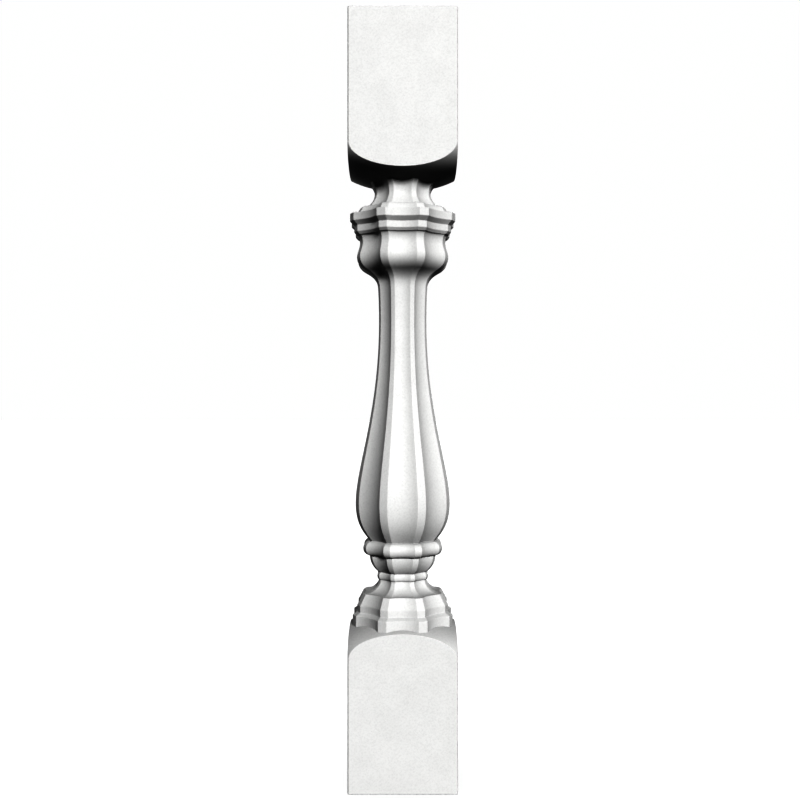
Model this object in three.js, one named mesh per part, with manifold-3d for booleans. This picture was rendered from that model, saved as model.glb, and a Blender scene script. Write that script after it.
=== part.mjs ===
// A stone baluster, carved as one piece: a square block at the foot and at the head, and between them
// a turned shaft with its mouldings, cut all round with eight flutes.
// Millimetres, +Z up, the origin in the middle of the underside.

import * as THREE from 'three';
import { mergeVertices } from 'three/addons/utils/BufferGeometryUtils.js';
import Module from 'manifold-3d';

// Overall size.
const HEIGHT = 900;
const BLOCK_WIDTH = 126;

// Square blocks. Each is turned to a low dome where it meets the shaft, so every face ends in an arch.
// The same turning takes the sharp edge off the block's corners.
const BLOCK_LENGTH = 154.5;
const ARCH_RISE = 28.3;
const CORNER_EASE = 0.8;

// Flutes. The fillet between two flutes is flat and this many degrees wide, seen from the axis.
// Each flute is an arc of a circle that spans this many degrees to either side of its middle.
const FLUTES = 8;
const FILLET_ANGLE = 10;
const FLUTE_ARC = 22;
const FLUTE_STEPS = 4;

// The mouldings follow, from the foot up. Every half width is measured square to a flute, to its lips,
// and every rise is a height along the axis.

// Plinth: two bands with a slope over each, the lower one set back from the block's faces.
const PLINTH_SET_BACK = 3.8;
const PLINTH_BAND = 11.5;
const PLINTH_STEP = 5.3;
const PLINTH_STEP_RISE = 3.6;
const PLINTH_UPPER_BAND = 8;
const WEATHERING = 6.9;
const WEATHERING_RISE = 13;

// Cavetto that sweeps in from the plinth to the foot's neck, and the bead on that neck.
const FOOT_NECK = 28.1;
const CAVETTO_RISE = 15.6;
const BEAD_BULGE = 2.1;
const BEAD_RISE = 8.8;

// Bell that swells out under the ring, and the ring itself.
const BELL = 39;
const BELL_RISE = 20.7;
const RING_BULGE = 7.9;
const RING_RISE = 17.2;

// Shaft: a belly that tapers to the waist. The taper takes what height the other mouldings leave.
const BELLY = 55.75;
const BELLY_RISE = 44.8;
const WAIST = 28.25;

// Capital: a flare over the waist, then a hollow and a swell that make one ogee.
const FLARE = 29.5;
const FLARE_RISE = 40.4;
const HOLLOW = 43;
const HOLLOW_RISE = 18.6;
const SWELL = 54.15;
const SWELL_RISE = 15.8;

// Groove over the swell, and the cove that leads out of it.
const GROOVE = 50.6;
const GROOVE_RISE = 16.9;
const COVE = 54.6;
const COVE_RISE = 9;

// Abacus: two bands, each with a bevel under it.
const LOWER_BAND = 57.4;
const LOWER_BEVEL_RISE = 3.5;
const LOWER_BAND_RISE = 7.6;
const UPPER_BAND = 62.3;
const UPPER_BEVEL_RISE = 5;
const UPPER_BAND_RISE = 9.2;

// Two nearly flat ledges over the abacus, with a quarter round between them.
const LEDGE = 53.5;
const LEDGE_RISE = 0.8;
const QUARTER_ROUND = 47.6;
const QUARTER_ROUND_RISE = 8;
const NECK_LEDGE = 40.5;
const NECK_LEDGE_RISE = 0.8;

// Neck: a hollow that narrows and opens again into the head block.
const NECK = 33.3;
const NECK_FOOT_RISE = 15.3;
const NECK_HEAD = 38.4;
const NECK_HEAD_RISE = 13.3;

// Steps along a curve: a short moulding, a full one and the shaft's long taper.
const SHORT_STEPS = 3;
const CURVE_STEPS = 5;
const TAPER_STEPS = 11;
const DOME_STEPS = 9;
const DOME_SIDES = 64;

// Stone.
const STONE_COLOUR = 0xe8e8e6;
const STONE_ROUGHNESS = 0.7;

const half = BLOCK_WIDTH / 2;
const domeRadius = half * Math.SQRT2 - CORNER_EASE;
const domeRise = ARCH_RISE / Math.sqrt(1 - (half / domeRadius) ** 2);
const domeHeight = (radius) => BLOCK_LENGTH + domeRise * Math.sqrt(1 - (radius / domeRadius) ** 2);

// Corners closer than this are one corner.
const MERGE_DISTANCE = 1e-4;

const wasm = await Module();
wasm.setup();

// The outline of the turned part, drawn upward. Each stretch starts where the last one ended.
class Outline {
  constructor(halfWidth, height) {
    this.points = [new THREE.Vector2(halfWidth, height)];
  }

  get end() {
    return this.points.at(-1);
  }

  // A straight stretch to a new half width.
  line(halfWidth, rise) {
    this.points.push(new THREE.Vector2(halfWidth, this.end.y + rise));
  }

  // A curved stretch, bent by two handles: one leaves its start and one reaches its end.
  curve(halfWidth, rise, { leave, reach }, steps) {
    const start = this.end.clone();
    const span = new THREE.Vector2(halfWidth - start.x, rise);
    const finish = start.clone().add(span);
    const first = new THREE.Vector2(...leave).multiply(span).add(start);
    const second = new THREE.Vector2(...reach).multiply(span).negate().add(finish);
    const path = new THREE.CubicBezierCurve(start, first, second, finish);
    this.points.push(...path.getPoints(steps).slice(1));
  }

  // A round that stands proud of the half width that it starts from, and comes back to it.
  round(bulge, rise, steps) {
    const { x, y } = this.end;
    const path = new THREE.EllipseCurve(x, y + rise / 2, bulge, rise / 2, -Math.PI / 2, Math.PI / 2);
    this.points.push(...path.getPoints(steps).slice(1));
  }

  // Closes the outline on the axis, above and below.
  closed() {
    const bottom = new THREE.Vector2(0, this.points[0].y);
    const top = new THREE.Vector2(0, this.end.y);
    return [bottom, ...this.points, top];
  }
}

// How each curved moulding is bent: its two handles, each as shares of the moulding's own change
// in half width and of its own rise.
const BEND = {
  cavetto: { leave: [0.42, 0], reach: [0, 0.58] },
  bell: { leave: [0.32, 0.12], reach: [0, 0.54] },
  belly: { leave: [0.44, 0.22], reach: [0, 0.55] },
  taper: { leave: [0, 0.205], reach: [0, 0.51] },
  flare: { leave: [0, 0.43], reach: [0.4, 0.1] },
  hollow: { leave: [0.07, 0.4], reach: [0.75, 0.33] },
  swell: { leave: [0.8, 0.3], reach: [0, 0.33] },
  groove: { leave: [0, 0.32], reach: [0, 0.35] },
  cove: { leave: [0, 0.55], reach: [0.55, 0] },
  quarterRound: { leave: [0.2, 0.35], reach: [0.5, 0.12] },
  neckFoot: { leave: [0.3, 0.3], reach: [0, 0.5] },
  neckHead: { leave: [0, 0.5], reach: [0.5, 0.24] },
};

function drawFoot(outline) {
  const lower = half - PLINTH_SET_BACK;
  const upper = lower - PLINTH_STEP;
  outline.line(lower, domeHeight(lower) - BLOCK_LENGTH + PLINTH_BAND);
  outline.line(upper, PLINTH_STEP_RISE);
  outline.line(upper, PLINTH_UPPER_BAND);
  outline.line(upper - WEATHERING, WEATHERING_RISE);
  outline.curve(FOOT_NECK, CAVETTO_RISE, BEND.cavetto, CURVE_STEPS);
  outline.round(BEAD_BULGE, BEAD_RISE, CURVE_STEPS);
  outline.curve(BELL, BELL_RISE, BEND.bell, CURVE_STEPS);
  outline.round(RING_BULGE, RING_RISE, CURVE_STEPS + SHORT_STEPS);
}

function drawShaft(outline, taperRise) {
  outline.curve(BELLY, BELLY_RISE, BEND.belly, CURVE_STEPS);
  outline.curve(WAIST, taperRise, BEND.taper, TAPER_STEPS);
}

function drawCapital(outline) {
  outline.curve(FLARE, FLARE_RISE, BEND.flare, SHORT_STEPS);
  outline.curve(HOLLOW, HOLLOW_RISE, BEND.hollow, CURVE_STEPS);
  outline.curve(SWELL, SWELL_RISE, BEND.swell, CURVE_STEPS);
  outline.curve(GROOVE, GROOVE_RISE, BEND.groove, CURVE_STEPS);
  outline.curve(COVE, COVE_RISE, BEND.cove, SHORT_STEPS);
  outline.line(LOWER_BAND, LOWER_BEVEL_RISE);
  outline.line(LOWER_BAND, LOWER_BAND_RISE);
  outline.line(UPPER_BAND, UPPER_BEVEL_RISE);
  outline.line(UPPER_BAND, UPPER_BAND_RISE);
}

function drawNeck(outline) {
  outline.line(LEDGE, LEDGE_RISE);
  outline.curve(QUARTER_ROUND, QUARTER_ROUND_RISE, BEND.quarterRound, SHORT_STEPS);
  outline.line(NECK_LEDGE, NECK_LEDGE_RISE);
  outline.curve(NECK, NECK_FOOT_RISE, BEND.neckFoot, CURVE_STEPS);
  outline.curve(NECK_HEAD, NECK_HEAD_RISE, BEND.neckHead, CURVE_STEPS);
  outline.line(NECK_HEAD, domeHeight(NECK_HEAD) - BLOCK_LENGTH);
}

// The whole outline, from inside the foot block to inside the head block. The mouldings are drawn once
// with no taper to find how high they stand, and then the taper takes up what is left.
function turnedOutline() {
  const draw = (taperRise) => {
    const outline = new Outline(half - PLINTH_SET_BACK, BLOCK_LENGTH);
    drawFoot(outline);
    drawShaft(outline, taperRise);
    drawCapital(outline);
    drawNeck(outline);
    return outline;
  };
  const mouldingsTop = draw(0).end.y;
  return draw(HEIGHT - BLOCK_LENGTH - mouldingsTop).closed();
}

// The section's outline at a half width of 1: for each flute, the points of its arc from lip to lip.
// The stretch from one flute's last point to the next one's first is the flat fillet.
function flutedSection() {
  const pitch = 2 * Math.PI / FLUTES;
  const lip = Math.tan((pitch - THREE.MathUtils.degToRad(FILLET_ANGLE)) / 2);
  const reach = THREE.MathUtils.degToRad(FLUTE_ARC);
  const arcRadius = lip / Math.sin(reach);
  const section = [];
  for (let flute = 0; flute < FLUTES; flute += 1) {
    for (let step = 0; step <= FLUTE_STEPS; step += 1) {
      const angle = reach * (2 * step / FLUTE_STEPS - 1);
      const across = arcRadius * Math.sin(angle);
      const out = 1 - arcRadius * (Math.cos(angle) - Math.cos(reach));
      section.push(new THREE.Vector2(across, -out).rotateAround(new THREE.Vector2(), flute * pitch));
    }
  }
  return section;
}

// A turned solid about the Z axis, from an outline that starts and ends on that axis.
function turn(points, sides, firstAngle = 0) {
  const lathe = new THREE.LatheGeometry(points, sides, firstAngle);
  return lathe.rotateX(Math.PI / 2);
}

// Moves each column of a turned solid's corners onto its own point of the fluted section.
function flute(geometry, outlineLength) {
  const section = flutedSection();
  const position = geometry.attributes.position;
  for (let index = 0; index < position.count; index += 1) {
    const column = section[Math.floor(index / outlineLength) % section.length];
    const halfWidth = Math.hypot(position.getX(index), position.getY(index));
    position.setX(index, column.x * halfWidth);
    position.setY(index, column.y * halfWidth);
  }
  return geometry;
}

// A geometry as a solid that can be cut and joined.
function solid(geometry) {
  geometry.deleteAttribute('normal');
  geometry.deleteAttribute('uv');
  const merged = mergeVertices(geometry, MERGE_DISTANCE);
  const vertProperties = new Float32Array(merged.attributes.position.array);
  const triVerts = new Uint32Array(merged.index.array);
  return new wasm.Manifold(new wasm.Mesh({ numProp: 3, vertProperties, triVerts }));
}

// The foot block: a square bar that ends in a turned dome.
function blockSolid() {
  const outline = [new THREE.Vector2(0, -half), new THREE.Vector2(domeRadius, -half)];
  const dome = new THREE.EllipseCurve(0, BLOCK_LENGTH, domeRadius, domeRise, 0, Math.PI / 2);
  outline.push(...dome.getPoints(DOME_STEPS));
  outline.at(-1).x = 0;
  const barLength = HEIGHT / 2;
  const bar = new THREE.BoxGeometry(BLOCK_WIDTH, BLOCK_WIDTH, barLength);
  bar.translate(0, 0, barLength / 2);
  const turned = turn(outline, DOME_SIDES, Math.PI / DOME_SIDES);
  return solid(bar).intersect(solid(turned));
}

function balusterGeometry() {
  const outline = turnedOutline();
  const sides = FLUTES * (FLUTE_STEPS + 1);
  const shaft = solid(flute(turn(outline, sides), outline.length));
  const foot = blockSolid();
  const head = foot.rotate([180, 0, 0]).translate([0, 0, HEIGHT]);
  const { vertProperties, triVerts } = shaft.add(foot).add(head).getMesh();
  const geometry = new THREE.BufferGeometry();
  geometry.setAttribute('position', new THREE.BufferAttribute(vertProperties, 3));
  geometry.setIndex(new THREE.BufferAttribute(triVerts, 1));
  return geometry;
}

const stone = new THREE.MeshStandardMaterial({
  color: STONE_COLOUR,
  roughness: STONE_ROUGHNESS,
  metalness: 0,
});

const baluster = new THREE.Mesh(balusterGeometry(), stone);
baluster.name = 'baluster';

const group = new THREE.Group();
group.add(baluster);

export default group;
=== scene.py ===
"""A slender stone baluster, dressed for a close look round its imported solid.

The real one is carved from a single stone, so it is a single closed mesh here too. Its shaft is turned
and then fluted, its two blocks are squared and domed, and the three are joined into one stone.

Sizes are in millimetres, as a carver's drawing has them. The meshes are in metres, with +Z up, the front
towards -Y and the origin in the middle of the underside.
"""

import logging
import math
from collections.abc import Callable, Iterator, Sequence
from contextlib import contextmanager
from dataclasses import dataclass, field
from enum import Enum
from itertools import pairwise

import bmesh
import bpy
from mathutils import Matrix, Vector


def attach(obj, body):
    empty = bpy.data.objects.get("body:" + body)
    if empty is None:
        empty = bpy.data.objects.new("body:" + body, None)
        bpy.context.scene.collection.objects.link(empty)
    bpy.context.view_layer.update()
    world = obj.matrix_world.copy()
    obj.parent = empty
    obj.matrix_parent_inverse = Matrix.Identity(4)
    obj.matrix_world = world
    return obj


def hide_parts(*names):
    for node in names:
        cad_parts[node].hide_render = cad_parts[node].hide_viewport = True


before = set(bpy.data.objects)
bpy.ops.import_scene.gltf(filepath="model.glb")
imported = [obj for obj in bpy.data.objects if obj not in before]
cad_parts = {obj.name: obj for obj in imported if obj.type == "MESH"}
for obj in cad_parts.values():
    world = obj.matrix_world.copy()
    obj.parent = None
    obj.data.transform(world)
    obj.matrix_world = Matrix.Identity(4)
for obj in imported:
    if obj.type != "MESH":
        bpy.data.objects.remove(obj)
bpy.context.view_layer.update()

log = logging.getLogger("baluster")

MM = 0.001

# Corners of a mesh that are closer than this are one corner.
WELD = 0.002 * MM

# Places that differ by less than this are the same.
SAME = 0.01 * MM

# Two directions are the same where the cosine between them is over this.
SAME_WAY = 0.9999


class Pick(Enum):
    """What is selected in edit mode, as Blender's selection mode and the name of the mesh's list."""

    CORNERS = ("VERT", "verts")
    EDGES = ("EDGE", "edges")


@contextmanager
def editing(piece: bpy.types.Object) -> Iterator[None]:
    """Opens one piece alone in edit mode, with nothing on it selected.

    Args:
        piece: The mesh object to work on.

    Yields:
        Nothing. The piece is back in object mode afterwards.
    """
    bpy.ops.object.select_all(action="DESELECT")
    piece.select_set(True)
    bpy.context.view_layer.objects.active = piece
    bpy.ops.object.mode_set(mode="EDIT")
    bpy.ops.mesh.select_mode(type="VERT")
    bpy.ops.mesh.select_all(action="DESELECT")
    yield
    bpy.ops.object.mode_set(mode="OBJECT")


def pick(piece: bpy.types.Object, what: Pick, wanted: Callable[[object], bool]) -> None:
    """Selects the corners or the edges of a piece in edit mode that pass a test.

    Args:
        piece: The mesh object that is open in edit mode.
        what: Whether corners or edges are looked at.
        wanted: The test, given one corner or edge.
    """
    mode, group = what.value
    bpy.ops.mesh.select_all(action="DESELECT")
    bpy.ops.mesh.select_mode(type=mode)
    mesh = bmesh.from_edit_mesh(piece.data)
    for element in getattr(mesh, group):
        if wanted(element):
            element.select_set(True)
    mesh.select_flush_mode()
    bmesh.update_edit_mesh(piece.data)


def apply_modifier(piece: bpy.types.Object, kind: str, **settings: object) -> None:
    """Adds a modifier to a piece and applies it at once.

    Args:
        piece: The mesh object.
        kind: Blender's name for the kind of modifier.
        **settings: The modifier's settings, by name.
    """
    modifier = piece.modifiers.new(kind.title(), kind)
    for name, value in settings.items():
        setattr(modifier, name, value)
    bpy.ops.object.select_all(action="DESELECT")
    piece.select_set(True)
    bpy.context.view_layer.objects.active = piece
    bpy.ops.object.modifier_apply(modifier=modifier.name)


def scrap(piece: bpy.types.Object) -> None:
    """Deletes a piece that was only a help in making another, and its mesh.

    Args:
        piece: The mesh object.
    """
    mesh = piece.data
    bpy.data.objects.remove(piece)
    bpy.data.meshes.remove(mesh)


def draw_chain(name: str, points: Sequence[Vector]) -> bpy.types.Object:
    """Draws an open chain of edges, by extruding one corner from point to point.

    Args:
        name: The new piece's name.
        points: The chain's corners in millimetres.

    Returns:
        The new piece, itself at the origin, with its corners at the points.
    """
    bpy.ops.object.select_all(action="DESELECT")
    bpy.ops.mesh.primitive_plane_add(size=MM, location=(0, 0, 0))
    piece = bpy.context.object
    piece.name = name
    piece.data.name = name
    with editing(piece):
        bpy.ops.mesh.select_all(action="SELECT")
        bpy.ops.mesh.merge(type="CENTER")
        bpy.ops.transform.translate(value=points[0] * MM)
        for start, finish in pairwise(points):
            step = (finish - start) * MM
            bpy.ops.mesh.extrude_vertices_move(TRANSFORM_OT_translate={"value": step})
    return piece


def weld() -> None:
    """Merges the doubled corners of the piece in edit mode, and turns its faces outwards."""
    bpy.ops.mesh.select_all(action="SELECT")
    bpy.ops.mesh.remove_doubles(threshold=WELD)
    bpy.ops.mesh.normals_make_consistent(inside=False)


def heights(edge: bmesh.types.BMEdge) -> list[float]:
    """The heights of an edge's two ends."""
    return [corner.co.z for corner in edge.verts]


def cut_start(points: Sequence[Vector], length: float) -> list[Vector]:
    """Cuts a length off the start of a chain of points.

    Args:
        points: The chain's points.
        length: The length to cut off.

    Returns:
        The points of what is left.
    """
    for index, (start, finish) in enumerate(pairwise(points)):
        step = (finish - start).length
        if step > length:
            return [start.lerp(finish, length / step), *points[index + 1:]]
        length -= step
    return [points[-1]]


@dataclass(frozen=True)
class Bend:
    """How a curved moulding is bent, by the two handles of its curve.

    Each handle is given as shares of the moulding's own change in half width and of its own rise.
    """

    leave: tuple[float, float]
    reach: tuple[float, float]
    steps: int = 12


@dataclass
class Outline:
    """The outline of the turned part, drawn upward, as half width and height in millimetres.

    Each stretch starts where the last one ended.
    """

    start: Vector
    stretches: list[list[Vector]] = field(default_factory=list)

    @property
    def end(self) -> Vector:
        """The point that the outline has reached."""
        return self.stretches[-1][-1] if self.stretches else self.start

    def line(self, half_width: float, rise: float) -> None:
        """Draws a straight stretch that leads to a half width and ends higher by a rise."""
        self.stretches.append([self.end, Vector((half_width, self.end.y + rise))])

    def curve(self, half_width: float, rise: float, bend: Bend) -> None:
        """Draws a curved stretch, with a handle at each end.

        Args:
            half_width: The half width that it leads to.
            rise: How much higher it ends.
            bend: Its two handles, and how finely it is drawn.
        """
        start = self.end
        span = Vector((half_width - start.x, rise))
        finish = start + span
        first = start + Vector(bend.leave) * span
        second = finish - Vector(bend.reach) * span
        points = []
        for step in range(bend.steps + 1):
            on = step / bend.steps
            off = 1 - on
            near = start * off ** 3 + first * 3 * off ** 2 * on
            far = second * 3 * off * on ** 2 + finish * on ** 3
            points.append(near + far)
        self.stretches.append(points)

    def round(self, bulge: float, rise: float, steps: int) -> None:
        """Draws a round that stands proud of the half width it starts from, and comes back to it.

        Args:
            bulge: How far it stands proud.
            rise: How much higher it ends.
            steps: How finely it is drawn.
        """
        middle = self.end + Vector((0, rise / 2))
        angles = [math.pi * (step / steps - 0.5) for step in range(steps + 1)]
        ring = [Vector((bulge * math.cos(angle), rise / 2 * math.sin(angle))) for angle in angles]
        self.stretches.append([middle + point for point in ring])

    def eased(self, ease: float, steps: int, least_turn: float) -> list[Vector]:
        """Joins the stretches into one chain, with the corners between them rounded off.

        Args:
            ease: How far from a corner its rounding starts, in millimetres.
            steps: How finely each rounding is drawn.
            least_turn: The smallest turn that counts as a corner, in degrees.

        Returns:
            The chain's points.
        """
        chain = list(self.stretches[0])
        for stretch in self.stretches[1:]:
            turn = (chain[-1] - chain[-2]).angle(stretch[1] - stretch[0])
            if math.degrees(turn) < least_turn:
                chain += stretch[1:]
                continue
            corner = stretch[0]
            chain = cut_start(chain[::-1], ease)[::-1]
            rest = cut_start(stretch, ease)
            leaving, reaching = chain[-1], rest[0]
            for step in range(1, steps):
                on = step / steps
                chain.append(leaving.lerp(corner, on).lerp(corner.lerp(reaching, on), on))
            chain += rest
        return chain


@dataclass(frozen=True)
class FlutedSection:
    """The shaft's section: equal flutes with a flat fillet between each two, all angles in degrees."""

    flutes: int = 8
    fillet_angle: float = 10
    flute_arc: float = 22

    @property
    def pitch(self) -> float:
        """The angle from one flute's middle to the next one's."""
        return 360 / self.flutes

    @property
    def lip_angle(self) -> float:
        """The angle from a flute's middle to its lip."""
        return (self.pitch - self.fillet_angle) / 2

    def reach(self, azimuth: float) -> float:
        """How far the section reaches from the axis, where the half width to the lips is 1.

        Args:
            azimuth: The direction from the middle of a flute, at most half a pitch.

        Returns:
            The reach: along the flute's arc up to its lip, and then along the flat fillet.
        """
        lip = math.tan(math.radians(self.lip_angle))
        if azimuth > self.lip_angle:
            fillet = math.hypot(1, lip) * math.cos(math.radians(self.fillet_angle / 2))
            return fillet / math.cos(math.radians(self.pitch / 2 - azimuth))
        arc = math.radians(self.flute_arc)
        arc_radius = lip / math.sin(arc)
        arc_centre = 1 + arc_radius * math.cos(arc)
        angle = math.radians(azimuth)
        aside = arc_centre * math.sin(angle)
        return arc_centre * math.cos(angle) - math.sqrt(arc_radius ** 2 - aside ** 2)


@dataclass
class Block:
    """A square block that ends in a turned dome, so that each of its faces ends in an arch.

    The dome's rows shrink from its rim towards its crown, down to a middle that is a share of the rim.
    Each face is parted a little under the foot of its arch, so that the long upright corners don't
    sway the shading of the dome's small faces.
    """

    width: float = 126
    length: float = 154.5
    arch_rise: float = 28.3
    corner_ease: float = 0.8

    arris: float = 0.45
    bed_arris: float = 0.9
    arris_steps: int = 3

    arch_steps: int = 64
    dome_rows: int = 26
    dome_middle: float = 0.3
    face_parting: float = 3

    @property
    def half(self) -> float:
        """Half of the block's width."""
        return self.width / 2

    @property
    def dome_radius(self) -> float:
        """The radius to which the block is turned, just inside its corners."""
        return self.half * math.sqrt(2) - self.corner_ease

    @property
    def arch_half(self) -> float:
        """Half of the width of the arch on a face."""
        return math.sqrt(self.dome_radius ** 2 - self.half ** 2)

    @property
    def dome_rise(self) -> float:
        """How high the whole dome stands over the foot of the arches."""
        return self.arch_rise * self.dome_radius / self.arch_half

    def dome_height(self, radius: float) -> float:
        """The height of the foot block's dome at a radius from the axis."""
        return self.length + self.dome_rise * math.sqrt(1 - (radius / self.dome_radius) ** 2)

    @property
    def inner_half(self) -> float:
        """How far from the axis an arch stands that has its feet on the block's diagonals."""
        return self.dome_radius / math.sqrt(2)

    def arch_points(self) -> list[Vector]:
        """Works out the arch of the front face.

        Returns:
            Its points, from its left foot to its right one.
        """
        points = []
        for step in range(self.arch_steps + 1):
            angle = math.pi * (step / self.arch_steps - 0.5)
            rise = self.arch_rise * math.cos(angle)
            points.append(Vector((self.arch_half * math.sin(angle), -self.half, self.length + rise)))
        return points

    def draw_arches(self) -> bpy.types.Object:
        """Draws the four arches, each with a narrow strip of the dome inside it.

        Returns:
            The four strips, joined at their inner corners.
        """
        block = draw_chain("foot_block", self.arch_points())
        foot = (0, 0, self.length * MM)
        growth = self.inner_half / self.arch_half
        shift_in = self.inner_half / self.half
        quarter_turn = math.radians(90)
        with editing(block):
            bpy.ops.mesh.select_all(action="SELECT")
            bpy.ops.mesh.extrude_edges_move()
            bpy.ops.transform.resize(value=(growth, shift_in, growth), center_override=foot)
            bpy.ops.mesh.select_all(action="SELECT")
            for _ in range(3):
                bpy.ops.mesh.duplicate()
                bpy.ops.transform.rotate(value=quarter_turn, orient_axis="Z", center_override=(0, 0, 0))
            bpy.ops.mesh.select_all(action="SELECT")
            bpy.ops.mesh.remove_doubles(threshold=WELD)
        return block

    def is_inside(self, edge: bmesh.types.BMEdge) -> bool:
        """Tests whether an edge is an open one that stands clear of all four faces."""
        reach = max(max(abs(corner.co.x), abs(corner.co.y)) for corner in edge.verts)
        return edge.is_boundary and reach < self.half * MM - SAME

    def lay_dome(self, block: bpy.types.Object) -> None:
        """Draws the strips in towards the dome's crown, row by row, and rounds the rows to the dome.

        Args:
            block: The piece that has only the arches and their strips.
        """
        crown = Vector((0, 0, self.length + self.dome_rise)) * MM
        shrink = 1 - self.dome_middle
        sizes = [1 - shrink * row / self.dome_rows for row in range(self.dome_rows + 1)]
        first_in_rows = len(block.data.vertices)
        with editing(block):
            pick(block, Pick.EDGES, self.is_inside)
            for outer, inner in pairwise(sizes):
                bpy.ops.mesh.extrude_edges_move()
                bpy.ops.transform.resize(value=[inner / outer] * 3, center_override=crown)
            bpy.ops.mesh.edge_face_add()
        rows = block.vertex_groups.new(name="rows")
        rows.add(range(first_in_rows, len(block.data.vertices)), 1, "REPLACE")
        self.round_rows(block, rows.name)
        block.vertex_groups.clear()

    def round_rows(self, block: bpy.types.Object, rows: str) -> None:
        """Rounds the rows to a ball, while the block is stretched so that its dome is part of one.

        Args:
            block: The piece with its rows.
            rows: The name of their vertex group.
        """
        stretch = self.dome_radius / self.dome_rise
        with editing(block):
            bpy.ops.mesh.select_all(action="SELECT")
            bpy.ops.transform.translate(value=(0, 0, -self.length * MM))
            bpy.ops.transform.resize(value=(1, 1, stretch), center_override=(0, 0, 0))
        apply_modifier(
            block,
            "CAST",
            cast_type="SPHERE",
            factor=1,
            use_radius_as_size=False,
            size=self.dome_radius * MM,
            vertex_group=rows,
        )
        with editing(block):
            bpy.ops.mesh.select_all(action="SELECT")
            bpy.ops.transform.resize(value=(1, 1, 1 / stretch), center_override=(0, 0, 0))
            bpy.ops.transform.translate(value=(0, 0, self.length * MM))

    def drop_corners(self, block: bpy.types.Object) -> None:
        """Draws the rounded corners between the faces down from the foot of the arches to the bed.

        Args:
            block: The piece that has only the domed top.
        """
        foot = self.length * MM + SAME
        with editing(block):
            pick(block, Pick.EDGES, lambda edge: edge.is_boundary and max(heights(edge)) < foot)
            bpy.ops.mesh.extrude_edges_move()
            bpy.ops.transform.resize(value=(1, 1, 0), center_override=(0, 0, self.bed_arris * MM))

    def fill_faces(self, block: bpy.types.Object) -> None:
        """Fills each upright face, from its arch down between its two corners.

        Args:
            block: The piece with the dome and the corners.
        """
        with editing(block):
            for quarter in range(4):
                out = Matrix.Rotation(math.radians(90) * quarter, 3, "Z") @ Vector((0, -1, 0))
                pick(block, Pick.EDGES, lambda edge: edge.is_boundary and self.is_on_face(edge, out))
                bpy.ops.mesh.edge_face_add()

    def is_on_face(self, edge: bmesh.types.BMEdge, out: Vector) -> bool:
        """Tests whether an edge lies in the upright face that looks out in a direction."""
        return all(corner.co.dot(out) > self.half * MM - SAME for corner in edge.verts)

    def ease_arrises(self, block: bpy.types.Object) -> None:
        """Takes the sharpness off the arches and the upright corners.

        Args:
            block: The piece with its dome, corners and faces.
        """
        with editing(block):
            weld()
            pick(block, Pick.EDGES, self.is_arris)
            bpy.ops.mesh.bevel(offset=self.arris * MM, segments=self.arris_steps, clamp_overlap=False)

    def is_arris(self, edge: bmesh.types.BMEdge) -> bool:
        """Tests whether an edge is where one of the four flat faces ends, above the bed."""
        flat = [max(abs(face.normal.x), abs(face.normal.y)) > SAME_WAY for face in edge.link_faces]
        return sorted(flat) == [False, True]

    def close_bed(self, block: bpy.types.Object) -> None:
        """Rounds the faces in to the bed and closes it, and parts each face at the foot of its arch.

        Args:
            block: The piece with its eased arrises.
        """
        ease = self.bed_arris
        angles = [math.pi / 2 * step / self.arris_steps for step in range(self.arris_steps + 1)]
        rounding = [
            (self.half - ease * (1 - math.cos(angle)), ease * (1 - math.sin(angle))) for angle in angles
        ]
        with editing(block):
            pick(block, Pick.EDGES, lambda edge: edge.is_boundary)
            for (outer, above), (inner, below) in pairwise(rounding):
                share = inner / outer
                bpy.ops.mesh.extrude_edges_move()
                bpy.ops.transform.resize(value=(share, share, 1), center_override=(0, 0, 0))
                bpy.ops.transform.translate(value=(0, 0, (below - above) * MM))
            bpy.ops.mesh.edge_face_add()
            weld()
            parting = (0, 0, (self.length - self.face_parting) * MM)
            bpy.ops.mesh.select_all(action="SELECT")
            bpy.ops.mesh.bisect(plane_co=parting, plane_no=(0, 0, 1))

    def build_foot(self) -> bpy.types.Object:
        """Builds the block at the foot, standing on its bed.

        Returns:
            The finished block, closed all round.
        """
        block = self.draw_arches()
        self.lay_dome(block)
        self.drop_corners(block)
        self.fill_faces(block)
        self.ease_arrises(block)
        self.close_bed(block)
        return block

    def build_head(self, foot: bpy.types.Object, height: float) -> bpy.types.Object:
        """Copies the foot block and turns the copy over, to end at the baluster's top.

        Args:
            foot: The finished block at the foot.
            height: The baluster's height in millimetres.

        Returns:
            The block at the head.
        """
        bpy.ops.object.select_all(action="DESELECT")
        foot.select_set(True)
        bpy.ops.object.duplicate()
        head = bpy.context.selected_objects[0]
        head.name = head.data.name = "head_block"
        with editing(head):
            bpy.ops.mesh.select_all(action="SELECT")
            middle = (0, 0, height / 2 * MM)
            bpy.ops.transform.rotate(value=math.pi, orient_axis="X", center_override=middle)
        return head


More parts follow.
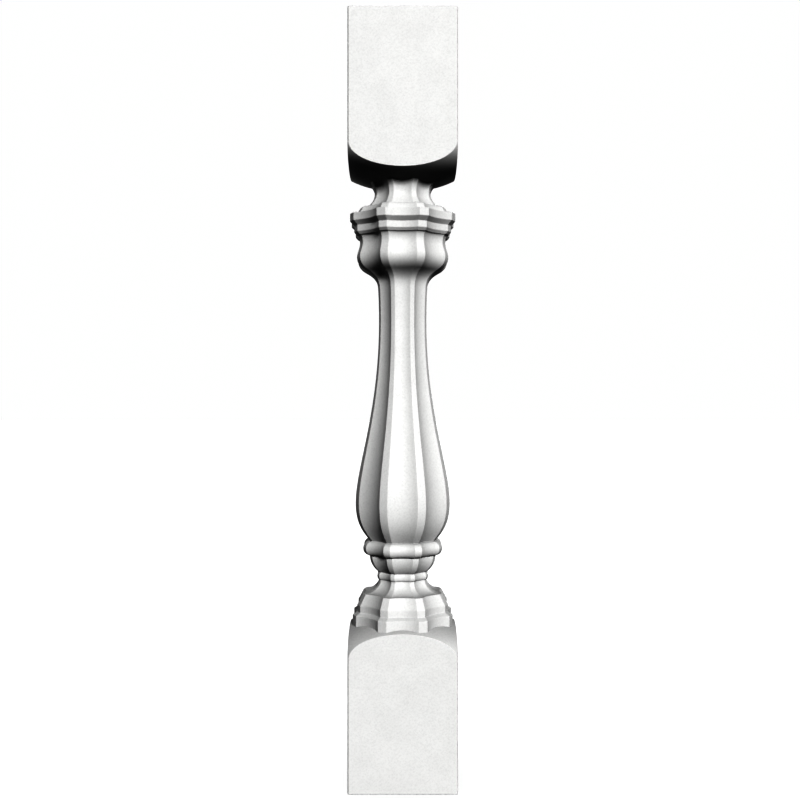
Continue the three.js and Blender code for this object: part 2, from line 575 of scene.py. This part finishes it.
@dataclass
class Shaft:
    """The turned and fluted part between the two blocks.

    Every half width is measured square to a flute, to its lips, and every rise is along the axis. A
    round has a bulge instead, and comes back to the half width that it starts from.
    """

    section: FlutedSection = field(default_factory=FlutedSection)

    plinth_set_back: float = 3.8
    plinth_band: float = 11.5
    plinth_step: float = 5.3
    plinth_step_rise: float = 3.6
    plinth_upper_band: float = 8
    weathering: float = 6.9
    weathering_rise: float = 13

    foot_neck: float = 28.1
    cavetto_rise: float = 15.6
    cavetto_bend: Bend = Bend((0.42, 0), (0, 0.58))
    bead_bulge: float = 2.1
    bead_rise: float = 8.8
    bell: float = 39
    bell_rise: float = 20.7
    bell_bend: Bend = Bend((0.32, 0.12), (0, 0.54), steps=16)
    ring_bulge: float = 7.9
    ring_rise: float = 17.2

    belly: float = 55.75
    belly_rise: float = 44.8
    belly_bend: Bend = Bend((0.44, 0.22), (0, 0.55), steps=20)
    waist: float = 28.25
    taper_bend: Bend = Bend((0, 0.205), (0, 0.51), steps=48)

    flare: float = 29.5
    flare_rise: float = 40.4
    flare_bend: Bend = Bend((0, 0.43), (0.4, 0.1))
    hollow: float = 43
    hollow_rise: float = 18.6
    hollow_bend: Bend = Bend((0.07, 0.4), (0.75, 0.33), steps=16)
    swell: float = 54.15
    swell_rise: float = 15.8
    swell_bend: Bend = Bend((0.8, 0.3), (0, 0.33))
    groove: float = 50.6
    groove_rise: float = 16.9
    groove_bend: Bend = Bend((0, 0.32), (0, 0.35))
    cove: float = 54.6
    cove_rise: float = 9
    cove_bend: Bend = Bend((0, 0.55), (0.55, 0), steps=10)

    lower_band: float = 57.4
    lower_bevel_rise: float = 3.5
    lower_band_rise: float = 7.6
    upper_band: float = 62.3
    upper_bevel_rise: float = 5
    upper_band_rise: float = 9.2

    ledge: float = 53.5
    ledge_rise: float = 0.8
    quarter_round: float = 47.6
    quarter_round_rise: float = 8
    quarter_round_bend: Bend = Bend((0.2, 0.35), (0.5, 0.12), steps=10)
    neck_ledge: float = 40.5
    neck_ledge_rise: float = 0.8

    neck: float = 33.3
    neck_foot_rise: float = 15.3
    neck_foot_bend: Bend = Bend((0.3, 0.3), (0, 0.5))
    neck_head: float = 38.4
    neck_head_rise: float = 13.3
    neck_head_bend: Bend = Bend((0, 0.5), (0.5, 0.24))

    bead_steps: int = 12
    ring_steps: int = 20

    arris: float = 0.6
    arris_steps: int = 3
    least_turn: float = 12
    lip_ease: float = 0.4
    lip_steps: int = 2
    column_angle: float = 2.5

    def draw_foot(self, outline: Outline, block: Block) -> None:
        """Draws the stepped plinth, the cavetto, the bead, the bell and the ring.

        Args:
            outline: The outline to draw on.
            block: The block at the foot.
        """
        lower = block.half - self.plinth_set_back
        upper = lower - self.plinth_step
        outline.line(lower, block.dome_height(lower) - block.length + self.plinth_band)
        outline.line(upper, self.plinth_step_rise)
        outline.line(upper, self.plinth_upper_band)
        outline.line(upper - self.weathering, self.weathering_rise)
        outline.curve(self.foot_neck, self.cavetto_rise, self.cavetto_bend)
        outline.round(self.bead_bulge, self.bead_rise, self.bead_steps)
        outline.curve(self.bell, self.bell_rise, self.bell_bend)
        outline.round(self.ring_bulge, self.ring_rise, self.ring_steps)

    def draw_shaft(self, outline: Outline, taper_rise: float) -> None:
        """Draws the belly, and the long taper that rises from it to the waist."""
        outline.curve(self.belly, self.belly_rise, self.belly_bend)
        outline.curve(self.waist, taper_rise, self.taper_bend)

    def draw_capital(self, outline: Outline) -> None:
        """Draws the flare, the ogee, the groove, the cove and the two bands of the abacus.

        Args:
            outline: The outline to draw on.
        """
        outline.curve(self.flare, self.flare_rise, self.flare_bend)
        outline.curve(self.hollow, self.hollow_rise, self.hollow_bend)
        outline.curve(self.swell, self.swell_rise, self.swell_bend)
        outline.curve(self.groove, self.groove_rise, self.groove_bend)
        outline.curve(self.cove, self.cove_rise, self.cove_bend)
        outline.line(self.lower_band, self.lower_bevel_rise)
        outline.line(self.lower_band, self.lower_band_rise)
        outline.line(self.upper_band, self.upper_bevel_rise)
        outline.line(self.upper_band, self.upper_band_rise)

    def draw_neck(self, outline: Outline, block: Block) -> None:
        """Draws the ledges over the abacus and the hollow neck, up into the block at the head.

        Args:
            outline: The outline to draw on.
            block: The block at the head.
        """
        outline.line(self.ledge, self.ledge_rise)
        outline.curve(self.quarter_round, self.quarter_round_rise, self.quarter_round_bend)
        outline.line(self.neck_ledge, self.neck_ledge_rise)
        outline.curve(self.neck, self.neck_foot_rise, self.neck_foot_bend)
        outline.curve(self.neck_head, self.neck_head_rise, self.neck_head_bend)
        outline.line(self.neck_head, block.dome_height(self.neck_head) - block.length)

    def draw(self, block: Block, taper_rise: float) -> Outline:
        """Draws the whole outline, from inside the foot block to inside the head block.

        Args:
            block: The block at either end.
            taper_rise: How much higher the taper ends than the belly.

        Returns:
            The outline.
        """
        outline = Outline(Vector((block.half - self.plinth_set_back, block.length)))
        self.draw_foot(outline, block)
        self.draw_shaft(outline, taper_rise)
        self.draw_capital(outline)
        self.draw_neck(outline, block)
        return outline

    def profile(self, block: Block, height: float) -> list[Vector]:
        """Works out the outline's points, with eased arrises and closed on the axis.

        The taper takes the height that the other mouldings leave.

        Args:
            block: The block at either end.
            height: The baluster's height in millimetres.

        Returns:
            The points, in the plane that looks out to the front.
        """
        mouldings_top = self.draw(block, 0).end.y
        outline = self.draw(block, height - block.length - mouldings_top)
        chain = outline.eased(self.arris, self.arris_steps, self.least_turn)
        closed = [Vector((0, chain[0].y)), *chain, Vector((0, chain[-1].y))]
        return [Vector((0, -point.x, point.y)) for point in closed]

    def turn(self, points: Sequence[Vector]) -> bpy.types.Object:
        """Turns a profile once round the axis.

        Args:
            points: The profile, from the axis to the axis.

        Returns:
            The turned piece, closed all round.
        """
        shaft = draw_chain("shaft", points)
        with editing(shaft):
            bpy.ops.mesh.select_all(action="SELECT")
            columns = round(360 / self.column_angle)
            bpy.ops.mesh.spin(steps=columns, angle=math.tau, center=(0, 0, 0), axis=(0, 0, 1))
            weld()
        return shaft

    def column(self, corner: bmesh.types.BMVert) -> int:
        """Finds which of the turned mesh's columns a corner is in.

        Args:
            corner: The corner.

        Returns:
            The column's number, counted from the middle of the nearest flute.
        """
        azimuth = math.degrees(math.atan2(corner.co.x, -corner.co.y))
        half_pitch = self.section.pitch / 2
        from_flute = abs((azimuth + half_pitch) % self.section.pitch - half_pitch)
        return round(from_flute / self.column_angle)

    def flute(self, shaft: bpy.types.Object) -> None:
        """Cuts the flutes, by drawing each set of like columns in to the fluted section.

        Args:
            shaft: The turned piece.
        """
        fillet_middle = round(self.section.pitch / 2 / self.column_angle)
        with editing(shaft):
            for column in range(fillet_middle + 1):
                reach = self.section.reach(column * self.column_angle)
                pick(shaft, Pick.CORNERS, lambda corner: self.column(corner) == column)
                bpy.ops.transform.resize(value=(reach, reach, 1), center_override=(0, 0, 0))

    def ease_lips(self, shaft: bpy.types.Object) -> None:
        """Takes the sharpness off the lips of the flutes.

        Args:
            shaft: The fluted piece.
        """
        lip = round(self.section.lip_angle / self.column_angle)
        with editing(shaft):
            pick(shaft, Pick.EDGES, lambda edge: self.runs_up_column(edge, lip))
            bpy.ops.mesh.bevel(offset=self.lip_ease * MM, segments=self.lip_steps, clamp_overlap=False)

    def runs_up_column(self, edge: bmesh.types.BMEdge, column: int) -> bool:
        """Tests whether an edge runs up one of the columns of that number, off the axis.

        Args:
            edge: The edge.
            column: The column's number from the middle of a flute.

        Returns:
            True if it does.
        """
        lower, upper = edge.verts
        if min(lower.co.xy.length, upper.co.xy.length) < SAME:
            return False
        if lower.co.xy.normalized().dot(upper.co.xy.normalized()) < SAME_WAY:
            return False
        return self.column(lower) == column

    def build(self, block: Block, height: float) -> bpy.types.Object:
        """Builds the shaft with its mouldings and flutes.

        Args:
            block: The block at either end.
            height: The baluster's height in millimetres.

        Returns:
            The finished shaft, closed all round, with both its ends inside the blocks.
        """
        shaft = self.turn(self.profile(block, height))
        self.flute(shaft)
        self.ease_lips(shaft)
        return shaft


@dataclass(frozen=True)
class StoneFinish:
    """Pale, fine-grained stone, honed smooth: faint clouds, a sandy grain and small dark pinholes.

    A shade is what the stone's colour is multiplied by, and a span is the part of a noise, from 0 to 1,
    over which its effect runs from none to all. The roughness is given where the grain is open and
    where it is tight, and the pattern is turned so that it doesn't line up with the flat faces.
    """

    pale: tuple[float, float, float] = (0.81, 0.81, 0.805)
    dull: tuple[float, float, float] = (0.793, 0.793, 0.788)
    cloud_size: float = 28
    cloud_span: tuple[float, float] = (0.38, 0.62)
    grain_size: float = 2.4
    grain_shade: float = 0.93
    grain_span: tuple[float, float] = (0.32, 0.55)
    pinhole_spacing: float = 6
    pinhole_size: float = 0.3
    pinhole_shade: float = 0.75
    roughness: tuple[float, float] = (0.74, 0.58)
    roughness_span: tuple[float, float] = (0.3, 0.7)
    relief: float = 0.06
    relief_strength: float = 0.5
    turned: tuple[float, float, float] = (27, 38, 16)

    def material(self) -> bpy.types.Material:
        """Makes the stone as a material.

        Returns:
            The material.
        """
        stone = bpy.data.materials.new("honed_stone")
        stone.use_nodes = True
        tree = stone.node_tree
        shader = tree.nodes["Principled BSDF"]
        place = self.place(tree)
        clouds = self.noise(tree, place, self.cloud_size, detail=5, roughness=0.55)
        grain = self.noise(tree, place, self.grain_size, detail=6, roughness=0.78)
        pinholes = self.pinholes(tree, place)
        tree.links.new(self.colour(tree, clouds, grain, pinholes), shader.inputs["Base Color"])
        tree.links.new(self.sheen(tree, grain), shader.inputs["Roughness"])
        tree.links.new(self.surface(tree, grain, pinholes), shader.inputs["Normal"])
        return stone

    def colour(
        self,
        tree: bpy.types.NodeTree,
        clouds: bpy.types.NodeSocket,
        grain: bpy.types.NodeSocket,
        pinholes: bpy.types.NodeSocket,
    ) -> bpy.types.NodeSocket:
        """Colours the stone in two pale tones, darker in its grain and its pinholes.

        Args:
            tree: The material's nodes.
            clouds: The noise of the clouds.
            grain: The noise of the grain.
            pinholes: 0 in a pinhole and 1 between the pinholes.

        Returns:
            The stone's colour.
        """
        light = [1.0] * 3
        colour = self.ramp(tree, clouds, self.cloud_span, self.dull, self.pale)
        grain_shade = self.ramp(tree, grain, self.grain_span, [self.grain_shade] * 3, light)
        hole_shade = self.ramp(tree, pinholes, (0, 1), [self.pinhole_shade] * 3, light)
        return self.multiply(tree, self.multiply(tree, colour, grain_shade), hole_shade)

    def sheen(self, tree: bpy.types.NodeTree, grain: bpy.types.NodeSocket) -> bpy.types.NodeSocket:
        """Makes the stone a little glossier where its grain is tight.

        Args:
            tree: The material's nodes.
            grain: The noise of the grain.

        Returns:
            The stone's roughness.
        """
        node = tree.nodes.new("ShaderNodeMapRange")
        for name, value in zip(("From Min", "From Max"), self.roughness_span):
            node.inputs[name].default_value = value
        for name, value in zip(("To Min", "To Max"), self.roughness):
            node.inputs[name].default_value = value
        tree.links.new(grain, node.inputs["Value"])
        return node.outputs["Result"]

    def surface(
        self, tree: bpy.types.NodeTree, grain: bpy.types.NodeSocket, pinholes: bpy.types.NodeSocket
    ) -> bpy.types.NodeSocket:
        """Gives the stone the slight relief of its grain and its pinholes.

        Args:
            tree: The material's nodes.
            grain: The noise of the grain.
            pinholes: 0 in a pinhole and 1 between the pinholes.

        Returns:
            The direction that the surface looks in.
        """
        depth = tree.nodes.new("ShaderNodeMath")
        depth.operation = "MULTIPLY"
        tree.links.new(grain, depth.inputs[0])
        tree.links.new(pinholes, depth.inputs[1])
        bump = tree.nodes.new("ShaderNodeBump")
        bump.inputs["Strength"].default_value = self.relief_strength
        bump.inputs["Distance"].default_value = self.relief * MM
        tree.links.new(depth.outputs["Value"], bump.inputs["Height"])
        return bump.outputs["Normal"]

    def place(self, tree: bpy.types.NodeTree) -> bpy.types.NodeSocket:
        """Reads the place on the stone, as coordinates that are turned against the stone's own.

        Args:
            tree: The material's nodes.

        Returns:
            The turned coordinates.
        """
        here = tree.nodes.new("ShaderNodeTexCoord")
        turned = tree.nodes.new("ShaderNodeMapping")
        turned.inputs["Rotation"].default_value = [math.radians(angle) for angle in self.turned]
        tree.links.new(here.outputs["Object"], turned.inputs["Vector"])
        return turned.outputs["Vector"]

    def noise(
        self,
        tree: bpy.types.NodeTree,
        place: bpy.types.NodeSocket,
        size: float,
        detail: float,
        roughness: float,
    ) -> bpy.types.NodeSocket:
        """Adds a noise whose largest patches are of one size.

        Args:
            tree: The material's nodes.
            place: The coordinates to read.
            size: The size of the largest patches in millimetres.
            detail: How many finer layers it has.
            roughness: How strong the finer layers are.

        Returns:
            The noise, from 0 to 1.
        """
        node = tree.nodes.new("ShaderNodeTexNoise")
        node.inputs["Scale"].default_value = 1 / (size * MM)
        node.inputs["Detail"].default_value = detail
        node.inputs["Roughness"].default_value = roughness
        tree.links.new(place, node.inputs["Vector"])
        return node.outputs["Fac"]

    def pinholes(self, tree: bpy.types.NodeTree, place: bpy.types.NodeSocket) -> bpy.types.NodeSocket:
        """Adds small round holes, well apart and out of line.

        Args:
            tree: The material's nodes.
            place: The coordinates to read.

        Returns:
            0 in a hole and 1 between the holes.
        """
        cells = tree.nodes.new("ShaderNodeTexVoronoi")
        cells.inputs["Scale"].default_value = 1 / (self.pinhole_spacing * MM)
        tree.links.new(place, cells.inputs["Vector"])
        edge = tree.nodes.new("ShaderNodeMapRange")
        edge.interpolation_type = "SMOOTHSTEP"
        edge.inputs["From Min"].default_value = self.pinhole_size / self.pinhole_spacing / 2
        edge.inputs["From Max"].default_value = self.pinhole_size / self.pinhole_spacing
        tree.links.new(cells.outputs["Distance"], edge.inputs["Value"])
        return edge.outputs["Result"]

    def ramp(
        self,
        tree: bpy.types.NodeTree,
        factor: bpy.types.NodeSocket,
        span: tuple[float, float],
        low: Sequence[float],
        high: Sequence[float],
    ) -> bpy.types.NodeSocket:
        """Adds a ramp from one colour to another.

        Args:
            tree: The material's nodes.
            factor: What the ramp follows.
            span: Where the ramp starts and where it ends.
            low: The colour up to its start.
            high: The colour from its end on.

        Returns:
            The colour.
        """
        node = tree.nodes.new("ShaderNodeValToRGB")
        for stop, position, colour in zip(node.color_ramp.elements, span, (low, high)):
            stop.position = position
            stop.color = (*colour, 1)
        tree.links.new(factor, node.inputs["Fac"])
        return node.outputs["Color"]

    def multiply(
        self, tree: bpy.types.NodeTree, colour: bpy.types.NodeSocket, shade: bpy.types.NodeSocket
    ) -> bpy.types.NodeSocket:
        """Darkens a colour by a shade.

        Args:
            tree: The material's nodes.
            colour: The colour.
            shade: What it is multiplied by.

        Returns:
            The darker colour.
        """
        node = tree.nodes.new("ShaderNodeMix")
        node.data_type = "RGBA"
        node.blend_type = "MULTIPLY"
        node.inputs["Factor"].default_value = 1
        tree.links.new(colour, node.inputs["A"])
        tree.links.new(shade, node.inputs["B"])
        return node.outputs["Result"]


@dataclass
class Baluster:
    """The whole baluster: the shaft between its two blocks, in one stone."""

    height: float = 900
    block: Block = field(default_factory=Block)
    shaft: Shaft = field(default_factory=Shaft)
    finish: StoneFinish = field(default_factory=StoneFinish)
    smooth_angle: float = 32

    def join(self, stone: bpy.types.Object, other: bpy.types.Object) -> None:
        """Joins another piece to the stone as one closed solid, and deletes the piece."""
        apply_modifier(stone, "BOOLEAN", operation="UNION", object=other, solver="MANIFOLD")
        scrap(other)

    def smooth(self, stone: bpy.types.Object) -> None:
        """Shades the curved surfaces smooth, and keeps the flat faces flat.

        Args:
            stone: The whole stone.
        """
        with editing(stone):
            weld()
        bpy.ops.object.shade_smooth_by_angle(angle=math.radians(self.smooth_angle))
        apply_modifier(stone, "WEIGHTED_NORMAL", keep_sharp=True)

    def build(self) -> bpy.types.Object:
        """Builds the baluster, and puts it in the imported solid's place.

        Returns:
            The finished piece.
        """
        foot = self.block.build_foot()
        head = self.block.build_head(foot, self.height)
        stone = self.shaft.build(self.block, self.height)
        self.join(stone, foot)
        self.join(stone, head)
        self.smooth(stone)
        stone.name = stone.data.name = "carved_baluster"
        stone.data.materials.clear()
        stone.data.materials.append(self.finish.material())
        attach(stone, "root")
        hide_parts("baluster")

        # Its surfaces throw no light on each other, so that its dark sides stay as dark as in the photograph.
        stone.visible_diffuse = False
        return stone


@dataclass(frozen=True)
class Lamp:
    """A far, broad studio lamp, placed by the direction that it shines from, in degrees.

    Azimuth 0 is the front and 90 the object's right side. How bright it is doesn't depend on its
    distance in millimetres, which only keeps it clear of the stone.
    """

    name: str
    azimuth: float
    elevation: float
    strength: float
    breadth: float
    gloss: bool = True
    distance: float = 3000

    def add(self, lit: bpy.types.Collection) -> None:
        """Adds the lamp to the scene.

        Args:
            lit: The only objects that it lights.
        """
        azimuth, elevation = math.radians(self.azimuth), math.radians(self.elevation)
        level = math.cos(elevation)
        towards = Vector((math.sin(azimuth) * level, -math.cos(azimuth) * level, math.sin(elevation)))
        data = bpy.data.lights.new(self.name, "SUN")
        data.energy = self.strength
        data.angle = math.radians(self.breadth)
        lamp = bpy.data.objects.new(self.name, data)
        lamp.rotation_euler = towards.to_track_quat("Z", "Y").to_euler()
        lamp.location = towards * self.distance * MM
        bpy.context.scene.collection.objects.link(lamp)
        lamp.visible_glossy = self.gloss
        lamp.light_linking.receiver_collection = lit


@dataclass(frozen=True)
class PhotoCamera:
    """The camera at the photograph's viewing angle: level, in front, at half the baluster's height.

    The frame's width and the two shifts are in the photograph's pixels.
    """

    distance: float = 1164.2
    height: float = 450
    lens: float = 43.4565
    sensor: float = 36
    frame_width: float = 800
    shift_right: float = -2.7
    shift_up: float = 0.25

    def add(self) -> None:
        """Adds the camera and makes it the scene's own."""
        data = bpy.data.cameras.new("photo_camera")
        data.lens = self.lens
        data.sensor_width = self.sensor
        data.shift_x = self.shift_right / self.frame_width
        data.shift_y = self.shift_up / self.frame_width
        camera = bpy.data.objects.new("photo_camera", data)
        camera.location = Vector((0, -self.distance, self.height)) * MM
        camera.rotation_euler = (math.radians(90), 0, 0)
        bpy.context.scene.collection.objects.link(camera)
        bpy.context.scene.camera = camera


@dataclass
class Studio:
    """A plain pale studio: white all round, with a key light and faint lights behind and on the left."""

    floor_size: float = 40_000
    floor_shade: float = 0.3
    floor_glow: float = 0.82
    floor_light: float = 3
    surround: float = 1.0
    ambient: float = 0.03
    contrast: float = 0.42
    lamps: tuple[Lamp, ...] = (
        Lamp("key_lamp", azimuth=15, elevation=21.5, strength=4.0, breadth=12),
        Lamp("left_back_lamp", azimuth=-155, elevation=3, strength=2.7, breadth=10, gloss=False),
        Lamp("right_back_lamp", azimuth=150, elevation=3, strength=1.5, breadth=10, gloss=False),
        Lamp("left_lamp", azimuth=-120, elevation=5, strength=0.7, breadth=20, gloss=False),
    )

    def build(self, stone: bpy.types.Object) -> None:
        """Builds the floor, the surroundings and the lamps.

        Args:
            stone: The piece that the lamps light.
        """
        floor = self.add_floor()
        self.light_surroundings()
        on_stone = bpy.data.collections.new("lit_stone")
        on_stone.objects.link(stone)
        for lamp in self.lamps:
            lamp.add(on_stone)
        on_floor = bpy.data.collections.new("lit_floor")
        on_floor.objects.link(floor)
        Lamp("floor_lamp", azimuth=0, elevation=90, strength=self.floor_light, breadth=70).add(on_floor)
        bpy.context.scene.view_settings.view_transform = "Standard"
        bpy.context.scene.view_settings.gamma = self.contrast

    def add_floor(self) -> bpy.types.Object:
        """Adds the floor, which throws no light back on the stone.

        Returns:
            The floor.
        """
        bpy.ops.object.select_all(action="DESELECT")
        bpy.ops.mesh.primitive_plane_add(size=self.floor_size * MM, location=(0, 0, 0))
        floor = bpy.context.object
        floor.name = "studio_floor"
        paint = bpy.data.materials.new("floor_paint")
        paint.use_nodes = True
        shader = paint.node_tree.nodes["Principled BSDF"]
        shader.inputs["Base Color"].default_value = (*[self.floor_shade] * 3, 1)
        shader.inputs["Roughness"].default_value = 1
        shader.inputs["Specular IOR Level"].default_value = 0
        shader.inputs["Emission Color"].default_value = (1, 1, 1, 1)
        shader.inputs["Emission Strength"].default_value = self.floor_glow
        floor.data.materials.append(paint)
        floor.visible_diffuse = False
        floor.visible_glossy = False
        return floor

    def light_surroundings(self) -> None:
        """Makes the surroundings white to look at, while they light the stone only faintly."""
        world = bpy.data.worlds.new("studio")
        world.use_nodes = True
        bpy.context.scene.world = world
        tree = world.node_tree
        seen = tree.nodes.new("ShaderNodeLightPath")
        glow = tree.nodes.new("ShaderNodeMapRange")
        glow.inputs["To Min"].default_value = self.ambient
        glow.inputs["To Max"].default_value = self.surround
        tree.links.new(seen.outputs["Is Camera Ray"], glow.inputs["Value"])
        tree.links.new(glow.outputs["Result"], tree.nodes["Background"].inputs["Strength"])
        tree.nodes["Background"].inputs["Color"].default_value = (1, 1, 1, 1)


def main() -> None:
    """Builds the camera, the baluster and the studio, and reports each piece."""
    logging.basicConfig(level=logging.INFO, format="%(name)s: %(message)s")
    PhotoCamera().add()
    stone = Baluster().build()
    log.info("%s has %d faces", stone.name, len(stone.data.polygons))
    Studio().build(stone)
    log.info("studio has a floor, surroundings and lamps")


if __name__ == "__main__":
    main()
